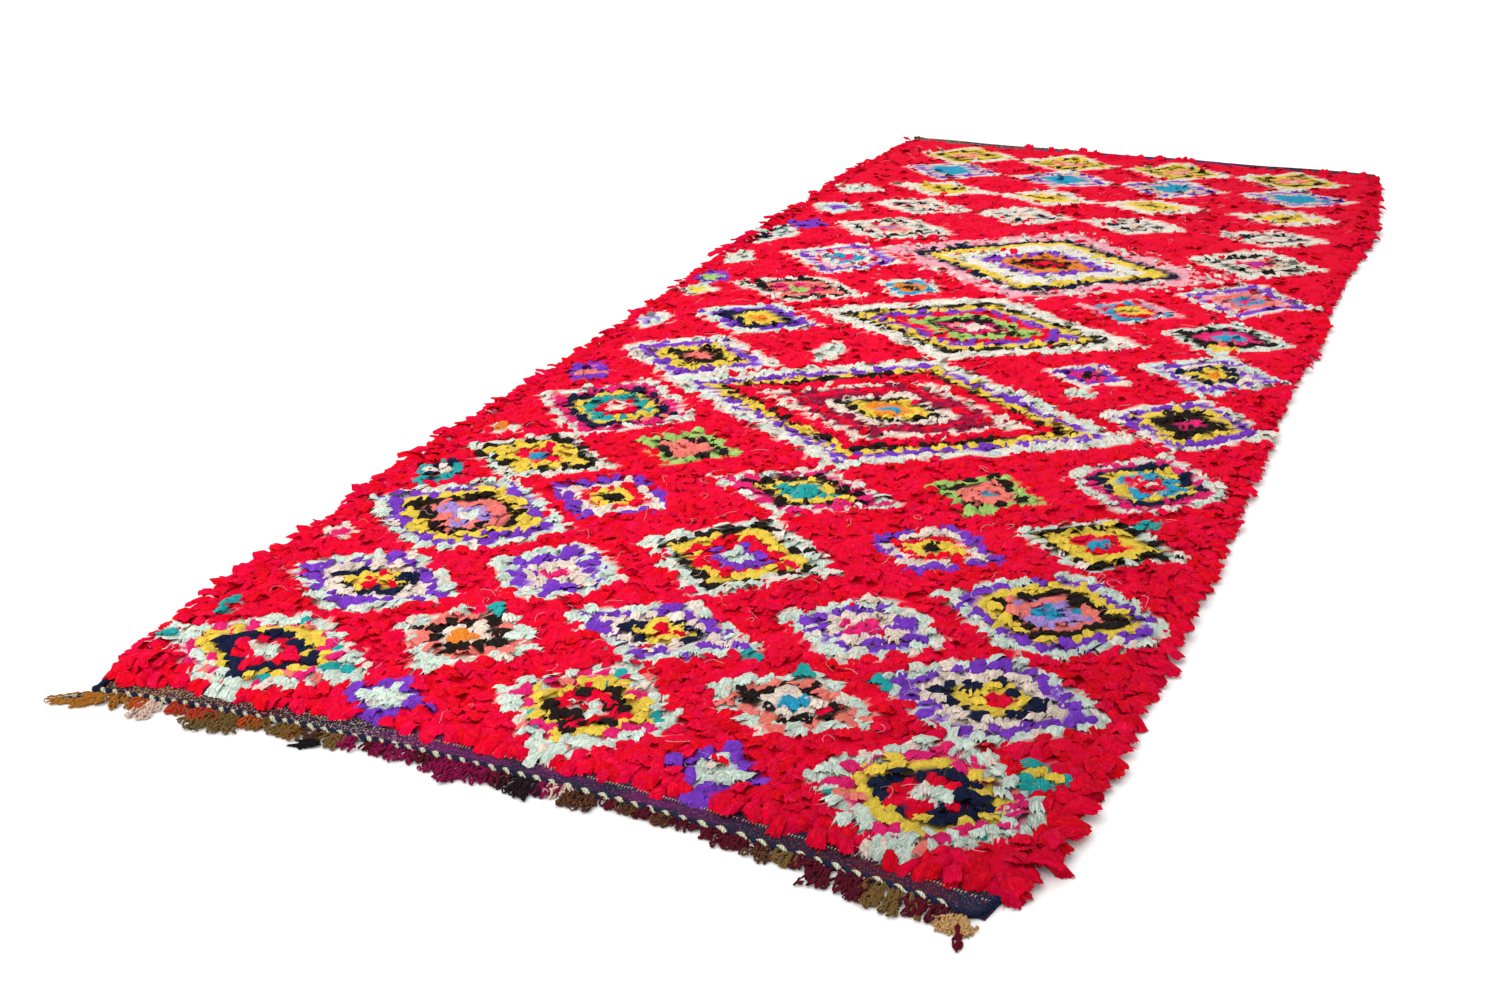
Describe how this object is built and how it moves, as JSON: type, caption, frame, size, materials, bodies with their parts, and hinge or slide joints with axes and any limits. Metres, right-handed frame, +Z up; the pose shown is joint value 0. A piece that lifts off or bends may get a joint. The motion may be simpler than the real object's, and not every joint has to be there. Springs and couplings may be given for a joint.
{
  "type": "boucherouite rug",
  "caption": "Long rag-pile rug lying flat, with lozenge motifs, flat-woven ends, a twined border, a wool fringe and corner tassels.",
  "frame": {"origin": "middle of the rug's outline, on the floor it lies on", "axes": "+Y towards the far end, +X to the right seen from the fringed end, +Z up"},
  "size_m": [1.3132, 3.3036, 0.0275],
  "materials": {
    "ground_wool": "matte flat-woven wool in navy, brown and maroon",
    "twined_yarn": "matte navy and mint twining yarn",
    "rag_red": "matte torn cotton and jersey strips, crimson",
    "rag_mint": "matte torn rag, pale mint",
    "rag_cream": "matte torn rag, pinkish cream",
    "rag_purple": "matte torn rag, purple",
    "rag_yellow": "matte torn rag, yellow",
    "rag_dark": "matte torn rag, black and navy",
    "rag_pink": "matte torn rag, hot pink",
    "rag_salmon": "matte torn rag, salmon",
    "rag_teal": "matte torn rag, teal and turquoise",
    "rag_green": "matte torn rag, light green",
    "rag_maroon": "matte torn rag, maroon",
    "fringe_wool": "matte loose wool ends, maroon, olive and brown",
    "tassel_wool": "matte knotted wool, brown gold"
  },
  "bodies": {
    "root": {"ground_weave": "ground_wool", "twined_border_near": "twined_yarn", "pile_field": "rag_red", "fringe_near": "fringe_wool", "tassel_near_left": "tassel_wool", "tassel_near_right": "tassel_wool", "tail_far_left": "tassel_wool"}
  },
  "joints": []
}
